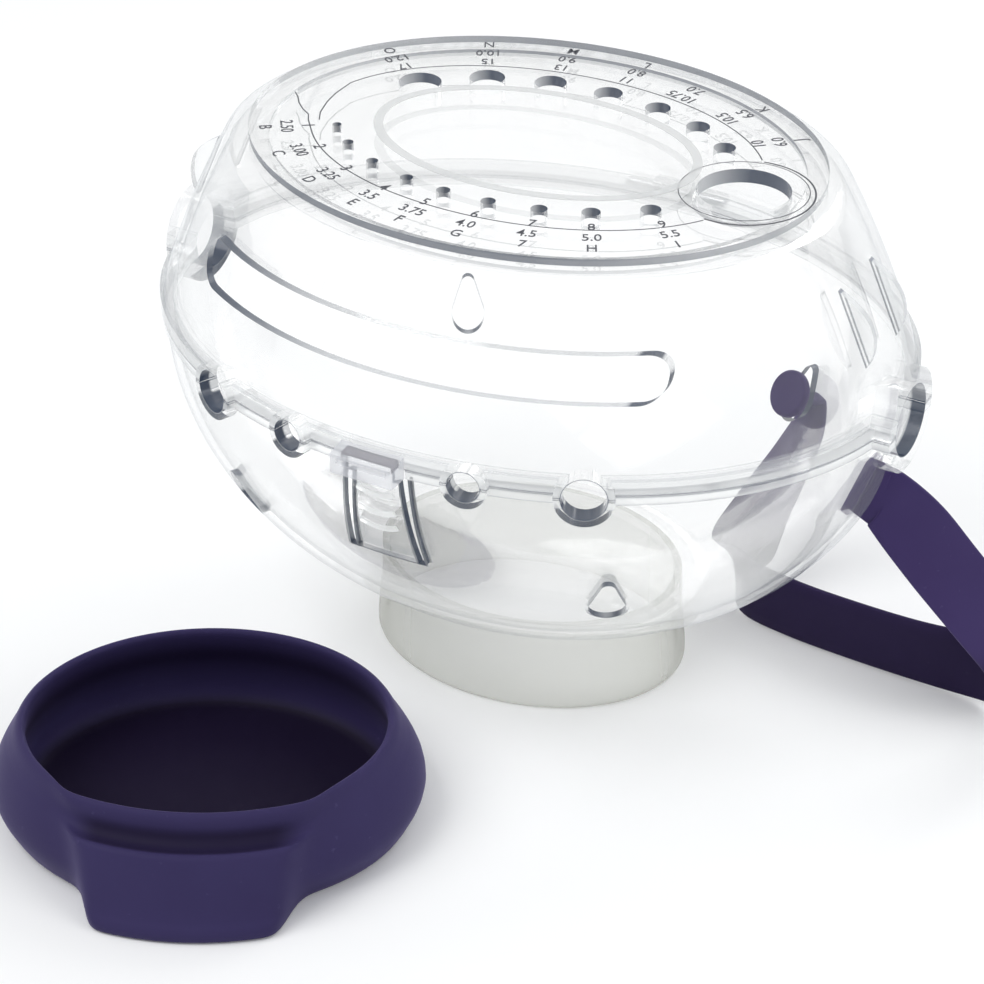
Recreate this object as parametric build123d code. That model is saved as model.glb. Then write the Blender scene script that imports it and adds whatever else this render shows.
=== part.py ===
# Portable yarn bowl: a clear oval bowl on a pedestal foot, a clear hinged lid with a needle
# gauge on top, a soft carrying strap and a separate soft tray. Millimetres, +Z up, the origin
# at the centre of the foot on the table, +X towards the docking hole and the latch towards -Y.
from build123d import *
import os
from math import atan2, cos, degrees, radians, sin, sqrt

os.makedirs("parts", exist_ok=True)

# Every oval shell is turned about Z and then narrowed across by the same ratio
side_ratio = 0.79
wall = 2.4
rim_height = 105
parting_gap = 0.3

# How far a cut runs past the face that it opens, how far it runs each way through one wall, and
# how near two places count as the same
cut_margin = 1
cut_reach = 20
near = 0.01

# Bowl: the wall follows half an ellipse that hangs from just under the rim
bowl_half_length = 108.4
bowl_depth = 83.1
bowl_bulge_drop = 4
bowl_flange_height = 2.65
bowl_flange_reach = 1.2
bowl_base_radius = 10

# Pedestal foot: as tall as it has to be to meet the bowl where the bowl's half length is its
# neck and the overhang
foot_half_length = 47.3
foot_neck_half_length = 45.6
foot_overhang = 6.1952
foot_wall = 2.3
foot_edge_radius = 1.2

# Lid: a wall that leans in to a rounded shoulder round a flat top
lid_height = 53
lid_flange_height = 4.35
lid_flange_reach = 1.2
lid_overhang = 0.4
lid_draw_in = 21.8
lid_bulge = 1.5
lid_shoulder_radius = 8

# Needle gauge plate, seated on a ledge round the opening in the lid's top. The outer edges of
# its holes lie on one oval, the gauge ring, and each hole has its diameter and its angle there.
plate_margin = 5.5
plate_step = 2
plate_thickness = 3
ledge_width = 5.5
plate_clearance = 0.3
gauge_ring_half_length = 59
gauge_ring_half_width = 40.1
gauge_holes = [
    (2.5, -153.2), (3.0, -138.7), (3.25, -123.5), (3.5, -109.0), (3.75, -96.6), (4.0, -83.2),
    (4.5, -69.0), (5.0, -54.3), (5.5, -35.6), (6.0, 33.5), (6.5, 51.4), (7.0, 68.9),
    (8.0, 86.1), (9.0, 104.4), (10.0, 124.6), (12.0, 149.5),
]
docking_inset = 0.2
docking_diameter = 25
docking_wall = 1
docking_depth = 4

# Openings for yarn: a long slot in the lid's front, and holes shared by lid and bowl rims
feed_half_width = 69
feed_bottom = 22.5
feed_height = 12
feed_corner = 5.5
yarn_holes = [(55.3, 6.0), (26.0, 4.4)]
yarn_collar_wall = 2
yarn_collar_reach = 2
end_hole_radius = 10
end_boss_radius = 14.5
end_boss_reach = 3
boss_inset = 6

# Half-moon fins in pairs on both ends of the lid
fin_offset = 10
fin_thickness = 2
fin_bottom = 17
fin_top = 40
fin_peak = 31
fin_reach = 5.5
fin_sink = 0.5
fin_root = 2
fin_low_slope = (0.8, 1)
fin_high_slope = (-1, 0.6)

# Snap latch at the front: a tongue in the bowl's wall that reaches up through a catch on the lid
slit_width = 2
slit_root_x = 10.5
slit_top_x = 8
tongue_length = 32
tongue_thickness = 1.2
tongue_stand_off = 0.6
tongue_gap = 0.3
tongue_rise = 2.1
shelf_drop = 5
hook_drop = 1.3
hook_reach = 1
hook_sink = 0.1
hook_root_drop = 0.2
grip_ribs = [-9, -15, -20]
grip_half_width = 5.5
grip_rise = 0.9
grip_line = 1.5
grip_arch = 1.2
notch_depth = 0.95
notch_side_room = 0.6
catch_half_width = 9.2
catch_cheek = 1.7
catch_drop = 2.5
catch_bar = 3
catch_bar_height = 3
catch_gap = 0.3
catch_fall = 1.2
catch_roof = 1

# Hinge at the back
pin_radius = 1.5
pin_length = 32
pin_fit = 0.02
knuckle_radius = 3
knuckle_clearance = 0.6
lid_knuckle_length = 12
knuckle_gap = 0.6
hinge_running_fit = 0.05

# Teardrop openings low in the bowl's wall
drop_parameter = 54.5
drop_below_rim = 42
drop_radius = 5
drop_top_radius = 2
drop_length = 8.5

# Strap: a soft flat band with a bar at one end and a button at the other
strap_width = 20
strap_thickness = 2.2
strap_slot_y = 2.5
strap_below_rim = 26
strap_clearance = 0.6
strap_exit = 1
strap_bar_length = 19
strap_bar_thickness = 3
strap_bar_width = 7
strap_bar_gap = 0.9
strap_neck = 6
strap_rest_height = 10.3
strap_drawn_half_length = 108.4
strap_drawn_rim = 105
button_radius = 7
button_thickness = 3
button_lift = 1

# Tray: a soft oval dish that fits round the foot, with a flat tab on one side
tray_x = -36.7
tray_y = -114.4
tray_turn = 25.6
tray_height = 29
tray_side_ratio = 0.835
tray_clearance = 1.4
tray_lip = 3.4
tray_flare = 6.7
tray_widest_height = 9
tray_undercut = 4
tray_floor = 3
tray_base_inset = 4
tray_lip_radius = 2
tab_half_width = 27.5
tab_height = 21.5
tab_reach = 59.3
tab_top_reach = 50.5
tab_corner = 4
toe_height = 1.5
toe_depth = 2
tab_root_y = 38
scoop_half_width = 28
scoop_depth = 43.2
scoop_height = 5

# Levels and half sizes that follow from the sizes above
lid_base = rim_height + parting_gap / 2
bowl_top = rim_height - parting_gap / 2
lid_top = rim_height + lid_height
bowl_centre_z = rim_height - bowl_bulge_drop
bowl_base_half_length = foot_neck_half_length + foot_overhang
foot_height = bowl_centre_z - bowl_depth * sqrt(1 - (bowl_base_half_length / bowl_half_length) ** 2)
drop_height = rim_height - drop_below_rim
strap_slot_z = rim_height - strap_below_rim
lid_foot_half_length = bowl_half_length + lid_overhang
lid_top_half_length = lid_foot_half_length - lid_draw_in
plate_half_length = lid_top_half_length - plate_margin
lid_rim_half_length = lid_foot_half_length + lid_flange_reach
bowl_rim_half_length = bowl_half_length + bowl_flange_reach
rim_half_width = lid_rim_half_length * side_ratio
plate_bottom = lid_top + plate_step - plate_thickness
opening_half_length = plate_half_length - ledge_width
docking_x = opening_half_length - plate_clearance - docking_inset - docking_wall - docking_diameter / 2
hinge_y = rim_half_width + knuckle_radius + knuckle_clearance
far = 3 * lid_rim_half_length


def oval(outline, ratio=side_ratio):
    """Solid of an XZ outline turned about Z and narrowed across."""
    turned = revolve(Plane.XZ * outline, axis=Axis.Z)
    return scale(turned, by=(1, ratio, 1))


def above(z):
    return Pos(0, 0, z) * Box(far, far, far, align=(Align.CENTER, Align.CENTER, Align.MIN))


def below(z):
    return Pos(0, 0, z) * Box(far, far, far, align=(Align.CENTER, Align.CENTER, Align.MAX))


def through_front(outline):
    """A shape drawn in X and Z and carried out through the front wall."""
    return extrude(Plane.XZ * outline, amount=far)


def along_x(points, half_width):
    """A bar whose section is drawn in Y and Z."""
    section = make_face(Polyline(*points, close=True))
    return extrude(Plane.YZ * section, amount=half_width, both=True)


def quarter(start, end, corner):
    """Round of a square corner, from one straight side to the next."""
    share = sin(radians(45))
    middle = (start[0] + end[0] - corner[0] + share * (2 * corner[0] - start[0] - end[0]),
              start[1] + end[1] - corner[1] + share * (2 * corner[1] - start[1] - end[1]))
    return ThreePointArc(start, middle, end)


def bowl_x(z, inset=0):
    """Half length of the bowl's wall at a height."""
    drop = (bowl_centre_z - z) / (bowl_depth - inset)
    return (bowl_half_length - inset) * sqrt(max(1 - drop ** 2, 0))


def lid_lean():
    """Inward lean of the lid's wall, as millimetres along for each one up."""
    return (lid_foot_half_length - lid_top_half_length) / (lid_height - lid_flange_height)


def lid_x(z, inset=0):
    """Half length of the lid's wall at a height above the rim, before its slight bulge."""
    slant = sqrt(1 + lid_lean() ** 2)
    return lid_foot_half_length - lid_lean() * (z - lid_flange_height) - inset * slant


def rim_plane(x):
    """Plane on the rim's front face at x, with its Z axis pointing out of the wall."""
    half_x = lid_rim_half_length
    along = max(min(x / half_x, 1), -1)
    y = -rim_half_width * sqrt(1 - along ** 2)
    outward = Vector(x / half_x ** 2, y / rim_half_width ** 2, 0)
    return Plane(origin=(along * half_x, y, rim_height), x_dir=(0, 0, 1), z_dir=outward)


def rim_cylinder(x, radius, reach, inset=boss_inset):
    length = reach + inset
    body = Cylinder(radius, length, align=(Align.CENTER, Align.CENTER, Align.MAX))
    return rim_plane(x) * Pos(0, 0, reach) * body


rim_openings = [(side * x, radius, radius + yarn_collar_wall, yarn_collar_reach)
                for x, radius in yarn_holes for side in (-1, 1)]
rim_openings += [(side * lid_rim_half_length, end_hole_radius, end_boss_radius, end_boss_reach)
                 for side in (-1, 1)]


def rim_bosses():
    return [rim_cylinder(x, boss, reach) for x, hole, boss, reach in rim_openings]


def rim_holes():
    return [rim_cylinder(x, hole, reach + cut_margin, 2 * boss_inset)
            for x, hole, boss, reach in rim_openings]


def lid_outline(inset):
    """Half section of the lid, from the rim to the flat top."""
    foot = (lid_x(lid_flange_height, inset), rim_height + lid_flange_height)
    corner = (lid_x(lid_height - inset, inset), lid_top - inset)
    middle = ((foot[0] + corner[0]) / 2 + lid_bulge, (foot[1] + corner[1]) / 2)
    start_x = lid_rim_half_length if inset == 0 else foot[0]
    start_z = lid_base if inset == 0 else rim_height - wall
    edges = [Line((0, start_z), (start_x, start_z)), Line((start_x, start_z), (start_x, foot[1]))]
    if start_x > foot[0]:
        edges.append(Line((start_x, foot[1]), foot))
    edges += [ThreePointArc(foot, middle, corner), Line(corner, (0, corner[1])),
              Line((0, corner[1]), (0, start_z))]
    face = make_face(edges)
    shoulder = [v for v in face.vertices() if abs(v.X - corner[0]) + abs(v.Y - corner[1]) < near]
    return fillet(shoulder, lid_shoulder_radius - inset)


def lid_fins():
    """Thin half-moons that stand on the lid's ends, one each side of the end boss."""
    low = (lid_x(fin_bottom) - fin_sink, rim_height + fin_bottom)
    peak = (lid_x(fin_peak) + lid_bulge + fin_reach, rim_height + fin_peak)
    high = (lid_x(fin_top) - fin_sink, rim_height + fin_top)
    high_root = (high[0] - wall - fin_root, high[1])
    low_root = (low[0] - wall - fin_root, low[1])
    outline = make_face([Spline([low, peak, high], tangents=[fin_low_slope, fin_high_slope]),
                         Line(high, high_root), Line(high_root, low_root), Line(low_root, low)])
    fin = extrude(Plane.XZ * outline, amount=fin_thickness / 2, both=True)
    right = [Pos(0, side * fin_offset, 0) * fin for side in (-1, 1)]
    return right + [mirror(one, about=Plane.YZ) for one in right]


def hinge_knuckle(x_from, x_to, arm_low, arm_high, bore):
    """Knuckle round the hinge line with an arm to the rim."""
    length = x_to - x_from
    middle = (x_from + x_to) / 2
    barrel = Pos(middle, hinge_y, rim_height) * Rot(0, 90, 0) * Cylinder(knuckle_radius, length)
    arm_depth = hinge_y - rim_half_width + boss_inset / 2
    arm = Pos(middle, hinge_y, (arm_low + arm_high) / 2) * Box(
        length, arm_depth, arm_high - arm_low, align=(Align.CENTER, Align.MAX, Align.CENTER))
    hole = Pos(middle, hinge_y, rim_height) * Rot(0, 90, 0) * Cylinder(bore, length + cut_margin)
    return (barrel + arm) - hole


def lid_shell():
    body = oval(lid_outline(0))
    for piece in rim_bosses():
        body += piece & above(lid_base)
    for fin in lid_fins():
        body += fin
    body += hinge_knuckle(-lid_knuckle_length / 2, lid_knuckle_length / 2, lid_base,
                          rim_height + lid_flange_height, pin_radius + hinge_running_fit)
    body -= oval(lid_outline(wall))
    ledge_opening = make_face(Polyline((0, lid_top - 2 * wall), (opening_half_length, lid_top - 2 * wall),
                                       (opening_half_length, lid_top + wall), (0, lid_top + wall), close=True))
    body -= oval(ledge_opening)
    feed = RectangleRounded(2 * feed_half_width, feed_height, feed_corner)
    body -= through_front(Pos(0, rim_height + feed_bottom + feed_height / 2) * feed)
    for hole in rim_holes():
        body -= hole
    notch = Box(2 * (tongue_head_half_width() + notch_side_room), rim_half_width,
                lid_flange_height + parting_gap,
                align=(Align.CENTER, Align.MAX, Align.CENTER))
    body -= Pos(0, notch_depth - rim_half_width, lid_base + lid_flange_height / 2) * notch
    return body


def gauge_plate():
    low = make_face(Polyline((0, plate_bottom), (opening_half_length - plate_clearance, plate_bottom),
                             (opening_half_length - plate_clearance, lid_top),
                             (plate_half_length, lid_top), (plate_half_length, lid_top + plate_step),
                             (0, lid_top + plate_step), close=True))
    plate = oval(low)
    docking_radius = docking_diameter / 2
    plate += Pos(docking_x, 0, lid_top + plate_step) * Cylinder(
        docking_radius + docking_wall, docking_depth, align=(Align.CENTER, Align.CENTER, Align.MAX))
    plate -= Pos(docking_x, 0, lid_top) * Cylinder(docking_radius, far)
    for diameter, angle in gauge_holes:
        radius = diameter / 2
        x = (gauge_ring_half_length - radius) * cos(radians(angle))
        y = (gauge_ring_half_width - radius) * sin(radians(angle))
        plate -= Pos(x, y, lid_top) * Cylinder(radius, far)
    return plate


def tongue_head_half_width():
    return slit_top_x - slit_width / 2


def stem_back():
    """Distance of the tongue's upper end from the middle, just clear of the lid's flange."""
    return rim_half_width + tongue_stand_off


def lid_catch():
    """Frosted catch on the lid's flange: two cheeks, a sloping roof and a bar low in front."""
    front = stem_back() + tongue_thickness + hook_reach + catch_gap + catch_bar
    bar_back = front - catch_bar
    low = rim_height - catch_drop
    roof_back = rim_height + lid_flange_height
    inside = wall - rim_half_width
    block = along_x([(inside, low), (-front, low), (-front, roof_back - catch_fall),
                     (inside, roof_back)], catch_half_width)
    half_room = catch_half_width - catch_cheek
    under, ceiling = low - cut_margin, roof_back - catch_fall - catch_roof / 2
    room = along_x([(0, under), (-bar_back, under), (-bar_back, ceiling), (0, ceiling)], half_room)
    window_top = roof_back - catch_fall - catch_roof
    window_back, window_front = cut_margin - bar_back, -cut_margin - front
    window = along_x([(window_back, low + catch_bar_height), (window_front, low + catch_bar_height),
                      (window_front, window_top), (window_back, window_top)], half_room)
    rim_band = make_face(Polyline((0, under), (lid_rim_half_length, under),
                                  (lid_rim_half_length, roof_back + cut_margin),
                                  (0, roof_back + cut_margin), close=True))
    return block - room - window - oval(rim_band)


def tongue_outline(extra, low, high):
    """Trapezoid of the tongue or, with the slits' width added, of the gap round it."""
    root, top = slit_root_x + extra, slit_top_x + extra
    return make_face(Polyline((-root, low), (root, low), (top, high), (-top, high), close=True))


def bowl_outline(inset):
    """Half section of the bowl, from its flat underside to the rim."""
    low = foot_height + inset
    high = bowl_top + (wall if inset else 0)
    wide, deep = bowl_half_length - inset, bowl_depth - inset
    end = degrees(atan2((low - bowl_centre_z) / deep, bowl_x(low, inset) / wide))
    curve = EllipticalCenterArc((0, bowl_centre_z), wide, deep, start_angle=end, arc_size=-end)
    corner = (bowl_x(low, inset), low)
    edges = [Line((0, low), corner), curve]
    if inset:
        edges += [Line((wide, bowl_centre_z), (wide, high)), Line((wide, high), (0, high))]
    else:
        under = bowl_top - bowl_flange_height
        rim = bowl_rim_half_length
        edges += [Line((wide, bowl_centre_z), (wide, under)), Line((wide, under), (rim, under)),
                  Line((rim, under), (rim, high)), Line((rim, high), (0, high))]
    edges.append(Line((0, high), (0, low)))
    return make_face(edges)


def bowl_solid(inset):
    """The bowl's outside or inside as a full solid, with its base edge rounded."""
    low = foot_height + inset
    turned = revolve(Plane.XZ * bowl_outline(inset), axis=Axis.Z)
    base_edge = turned.edges().filter_by(GeomType.CIRCLE).sort_by(Axis.Z)[0]
    if abs(base_edge.center().Z - low) < near:
        turned = fillet(base_edge, bowl_base_radius - inset)
    return scale(turned, by=(1, side_ratio, 1))


def drop_point():
    """Middle of a teardrop's round end, on the outside of the bowl's wall."""
    wide, angle = bowl_x(drop_height), radians(drop_parameter)
    return Vector(wide * cos(angle), side_ratio * wide * sin(angle), drop_height)


def drop_hole(side_x, side_y):
    """Teardrop cut through the wall, square to the oval at that place."""
    point = drop_point()
    outward = Vector(side_x * point.X, side_y * point.Y / side_ratio ** 2, 0)
    place = Plane(origin=(side_x * point.X, side_y * point.Y, drop_height), x_dir=(0, 0, 1), z_dir=outward)
    circles = Circle(drop_radius).edges() + (Pos(drop_length, 0) * Circle(drop_top_radius)).edges()
    return extrude(place * make_hull(circles), amount=cut_reach, both=True)


def strap_wall_point():
    """Where the strap's slot meets the inside of the bowl's right-hand wall."""
    return bowl_x(strap_slot_z, wall)


def bowl_shell():
    body = bowl_solid(0)
    for piece in rim_bosses():
        body += piece & below(bowl_top)
    reach = pin_length / 2
    gap_end = lid_knuckle_length / 2 + knuckle_gap
    low = bowl_top - bowl_flange_height
    body += hinge_knuckle(gap_end, reach, low, bowl_top, pin_radius + pin_fit)
    body += hinge_knuckle(-reach, -gap_end, low, bowl_top, pin_radius + pin_fit)
    body -= bowl_solid(wall)
    for hole in rim_holes():
        body -= hole
    root = rim_height - tongue_length - tongue_gap
    body -= through_front(tongue_outline(slit_width / 2, root, rim_height + wall))
    for side_x in (-1, 1):
        for side_y in (-1, 1):
            body -= drop_hole(side_x, side_y)
    slot = Box(2 * cut_reach, strap_thickness + 2 * strap_clearance,
               strap_width + 2 * strap_clearance)
    body -= Pos(strap_wall_point(), strap_slot_y, strap_slot_z) * slot
    return body


def pedestal_foot():
    """Ring that the bowl's underside is bonded to: a gentle neck and a rounded edge round its flat
    underside, which is cut level."""
    base, neck = foot_half_length, foot_neck_half_length
    under = -cut_margin
    outside = Spline([(base, foot_edge_radius), ((base + 2 * neck) / 3, foot_height / 2), (neck, foot_height)],
                     tangents=[(0, 1), (0, 1)])
    inside = Line((neck - foot_wall, foot_height), (base - foot_wall, 0))
    flat = [Line((base - foot_wall, 0), (base - foot_wall, under)),
            Line((base - foot_wall, under), (base - foot_edge_radius, under)),
            Line((base - foot_edge_radius, under), (base - foot_edge_radius, 0))]
    edge = quarter((base - foot_edge_radius, 0), (base, foot_edge_radius), (base, 0))
    ring = make_face([outside, Line((neck, foot_height), (neck - foot_wall, foot_height)), inside,
                      *flat, edge])
    return oval(ring) & above(0)


def latch_tongue():
    """Springy tongue between two slits of the bowl's front wall, with finger ribs and a hook."""
    low = rim_height - tongue_length
    shelf = rim_height - shelf_drop
    blank = through_front(tongue_outline(-slit_width / 2, low, shelf))
    tongue = (bowl_solid(0) - bowl_solid(wall)) & blank
    wall_y = side_ratio * bowl_x(shelf)
    back, front = stem_back(), stem_back() + tongue_thickness
    nose = front + hook_reach
    top = rim_height + tongue_rise
    nose_low = top - hook_drop
    middle = wall_y - wall / 2
    head = [(-middle, shelf - shelf_drop), (-middle, shelf + tongue_thickness / 2),
            (-back, shelf + back - wall_y), (-back, top), (-front, top),
            (-nose, nose_low + hook_reach / 2), (-nose, nose_low), (-front, nose_low),
            (-front, shelf + front - wall_y - tongue_thickness), (hook_sink - wall_y, shelf - hook_root_drop),
            (hook_sink - wall_y, shelf - shelf_drop)]
    tongue += along_x(head, tongue_head_half_width())
    for level in grip_ribs:
        z = rim_height + level
        line = ThreePointArc((-grip_half_width, z), (0, z - grip_arch), (grip_half_width, z))
        surface = side_ratio * bowl_x(z - grip_arch)
        rib = extrude(Plane.XZ * trace(line, line_width=grip_line), amount=grip_rise + wall / 2)
        tongue += Pos(0, wall / 2 - surface, 0) * rib
    return tongue


def hinge_pin():
    return Pos(0, hinge_y, rim_height) * Rot(0, 90, 0) * Cylinder(pin_radius, pin_length)


# Hand-chosen points of the strap's middle line: place, direction of its width, and width. They
# were chosen for a bowl of strap_drawn_half_length and strap_drawn_rim, and follow its size.
strap_route = [
    ((109, 2.2, 76.2), (0.38, 0.10, 0.92), strap_width),
    ((116, 3.5, 69), (0.42, 0.35, 0.84), strap_width),
    ((124, 7.5, 57), (0.44, 0.55, 0.71), strap_width),
    ((134, 13, 42), (0.44, 0.63, 0.64), strap_width),
    ((141, 20, 28), (0.43, 0.60, 0.68), strap_width),
    ((140, 28, 16), (0.35, 0.45, 0.82), strap_width),
    ((130, 32, 11.3), (0.15, 0.25, 0.96), strap_width),
    ((112, 31.5, 10.4), (0.02, 0.05, 1.0), strap_width),
    ((90, 32, 10.3), (0, 0, 1), strap_width),
    ((68, 34, 10.3), (0, 0, 1), strap_width),
    ((52, 38, 10.8), (-0.05, 0.05, 1), strap_width),
    ((45.5, 47, 14), (-0.45, 0.35, 0.82), strap_width),
    ((47, 57, 24), (-0.7, 0.5, 0.4), strap_width),
    ((52, 65.5, 38), (-0.78, 0.55, 0.1), strap_width * 0.9),
    ((56.5, 69.5, 51), (-0.8, 0.58, 0), strap_width * 0.7),
    ((58.8, 69.5, 60), (-0.81, 0.58, 0), strap_neck),
]


def strap_point(x, y, z):
    """A point of the route for the bowl's own size, with what lies on the table left there."""
    out = bowl_half_length / strap_drawn_half_length
    up = (rim_height - strap_rest_height) / (strap_drawn_rim - strap_rest_height)
    return Vector(x * out, y * out, strap_rest_height + (z - strap_rest_height) * up)


def strap_section(place, along, width_dir, width):
    """Rectangle across the band at one point of its route."""
    side = along.cross(width_dir).normalized()
    up = side.cross(along).normalized()
    plane = Plane(origin=place, x_dir=up, z_dir=along)
    return plane * Rectangle(width, strap_thickness)


def strap_band():
    """Soft flat band: a bar inside the end wall, the free loop, and a button inside a teardrop."""
    z = strap_slot_z
    slope = (bowl_x(z + near, wall) - bowl_x(z - near, wall)) / (2 * near)
    rise = Vector(slope, 0, 1).normalized()
    out = Vector(rise.Z, 0, -rise.X)
    inner_wall = Vector(strap_wall_point(), strap_slot_y, z)
    bar_middle = inner_wall - out * (strap_bar_gap + strap_bar_thickness / 2)
    bar_plane = Plane(origin=bar_middle, x_dir=rise, z_dir=out)
    bar = bar_plane * Box(strap_bar_length, strap_bar_width, strap_bar_thickness)
    route = [(bar_middle, rise, strap_bar_length), (inner_wall + out * (wall + strap_exit), rise, strap_width)]
    route += [(strap_point(*place), Vector(*across).normalized(), width)
              for place, across, width in strap_route]
    hole = drop_point() + Vector(0, 0, button_lift)
    half_width = side_ratio * bowl_half_length
    square = Vector(hole.X / bowl_half_length ** 2, hole.Y / half_width ** 2,
                    (drop_height - bowl_centre_z) / bowl_depth ** 2).normalized()
    across = square.cross(Vector(0, 0, 1))
    button_middle = hole - square * (wall + strap_bar_gap + button_thickness / 2)
    route += [(hole + square * (wall + strap_exit), across, strap_neck), (button_middle, across, strap_neck)]
    sections = []
    for i, (place, width_dir, width) in enumerate(route):
        before, after = route[max(i - 1, 0)][0], route[min(i + 1, len(route) - 1)][0]
        sections.append(strap_section(place, (after - before).normalized(), width_dir, width))
    band = loft(sections, ruled=True)
    button = Plane(origin=button_middle, z_dir=square) * Cylinder(button_radius, button_thickness)
    return band + bar + button


def tray_outline():
    """Half section of the tray: flat base, a swelling side and a rounded lip round the hollow."""
    opening = foot_half_length + tray_clearance
    lip = opening + tray_lip
    widest = lip + tray_flare
    round_z = tray_height - tray_lip_radius
    base, hollow = widest - tray_base_inset, opening + tray_undercut
    outside = ThreePointArc((base, 0), (widest, tray_widest_height), (lip, round_z))
    inside = ThreePointArc((hollow - tray_lip_radius, tray_floor), (hollow, tray_widest_height),
                           (opening, round_z))
    return make_face([
        Line((0, 0), (base, 0)), outside,
        quarter((lip, round_z), (lip - tray_lip_radius, tray_height), (lip, tray_height)),
        Line((lip - tray_lip_radius, tray_height), (opening + tray_lip_radius, tray_height)),
        quarter((opening + tray_lip_radius, tray_height), (opening, round_z), (opening, tray_height)),
        inside, Line((hollow - tray_lip_radius, tray_floor), (0, tray_floor)), Line((0, tray_floor), (0, 0))])


def tray_tab():
    """Flat-faced tab that leans back from a low toe, with the scoop over it cut out of the side."""
    tab = along_x([(-tab_root_y, 0), (-tab_reach, 0), (-tab_reach, toe_height),
                   (toe_depth - tab_reach, toe_height + toe_depth), (-tab_top_reach, tab_height),
                   (-tab_root_y, tab_height)], tab_half_width)
    corners = tab.edges().filter_by(Axis.Z).group_by(Axis.Y)[0]
    return fillet(corners, tab_corner)


def base_tray():
    """Soft tray beside the bowl; its mouth takes the foot with a little room."""
    tray = oval(tray_outline(), tray_side_ratio)
    wall_band = make_face(Polyline((0, 0), (foot_half_length + tray_clearance + tray_lip, 0),
                                   (foot_half_length + tray_clearance + tray_lip, tab_height),
                                   (0, tab_height), close=True))
    tray += tray_tab() - oval(wall_band, tray_side_ratio)
    tray -= along_x([(-tab_reach, tab_height), (-scoop_depth, tab_height),
                     (-scoop_depth, tab_height + scoop_height / 2),
                     (-tab_reach, tab_height + scoop_height)], scoop_half_width)
    return Pos(tray_x, tray_y, 0) * Rot(0, 0, tray_turn) * tray


pieces = {
    "bowl_shell": bowl_shell,
    "pedestal_foot": pedestal_foot,
    "latch_tongue": latch_tongue,
    "lid_shell": lid_shell,
    "gauge_plate": gauge_plate,
    "lid_catch": lid_catch,
    "hinge_pin": hinge_pin,
    "strap_band": strap_band,
    "base_tray": base_tray,
}
for name, make in pieces.items():
    export_step(make(), f"parts/{name}.step")
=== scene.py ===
from math import cos, pi, radians, sin, sqrt

import bmesh
import bpy
from mathutils import Matrix, Vector


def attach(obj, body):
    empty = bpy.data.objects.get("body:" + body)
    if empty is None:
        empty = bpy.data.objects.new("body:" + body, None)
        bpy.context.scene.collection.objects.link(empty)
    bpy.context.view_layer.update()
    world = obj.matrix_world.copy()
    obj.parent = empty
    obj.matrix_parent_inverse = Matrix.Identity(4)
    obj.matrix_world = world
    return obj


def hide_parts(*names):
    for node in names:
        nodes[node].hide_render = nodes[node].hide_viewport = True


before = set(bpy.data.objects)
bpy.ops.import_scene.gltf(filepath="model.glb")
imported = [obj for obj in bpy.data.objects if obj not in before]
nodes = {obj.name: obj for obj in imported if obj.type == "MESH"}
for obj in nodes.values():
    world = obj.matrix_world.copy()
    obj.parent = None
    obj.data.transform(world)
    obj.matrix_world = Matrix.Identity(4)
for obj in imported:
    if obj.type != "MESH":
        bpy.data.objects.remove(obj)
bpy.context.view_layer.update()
scene = bpy.context.scene


# The camera stands in front and to the right of the bowl and looks down on it, as someone
# at the table would. Its place and long lens were worked out from the gauge holes and rims.
eye = Vector((0.3542, -0.6613, 0.5196))
looked_at = Vector((-0.0100, -0.0056, 0.0482))
camera_data = bpy.data.cameras.new("camera")
camera_data.lens = 112.5
camera_data.sensor_width = 36
camera_data.clip_end = 20
camera = bpy.data.objects.new("camera", camera_data)
camera.location = eye
camera.rotation_euler = (looked_at - eye).to_track_quat("-Z", "Y").to_euler()
scene.collection.objects.link(camera)
scene.camera = camera
scene.view_settings.view_transform = "Standard"
scene.cycles.transparent_max_bounces = 32


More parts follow.
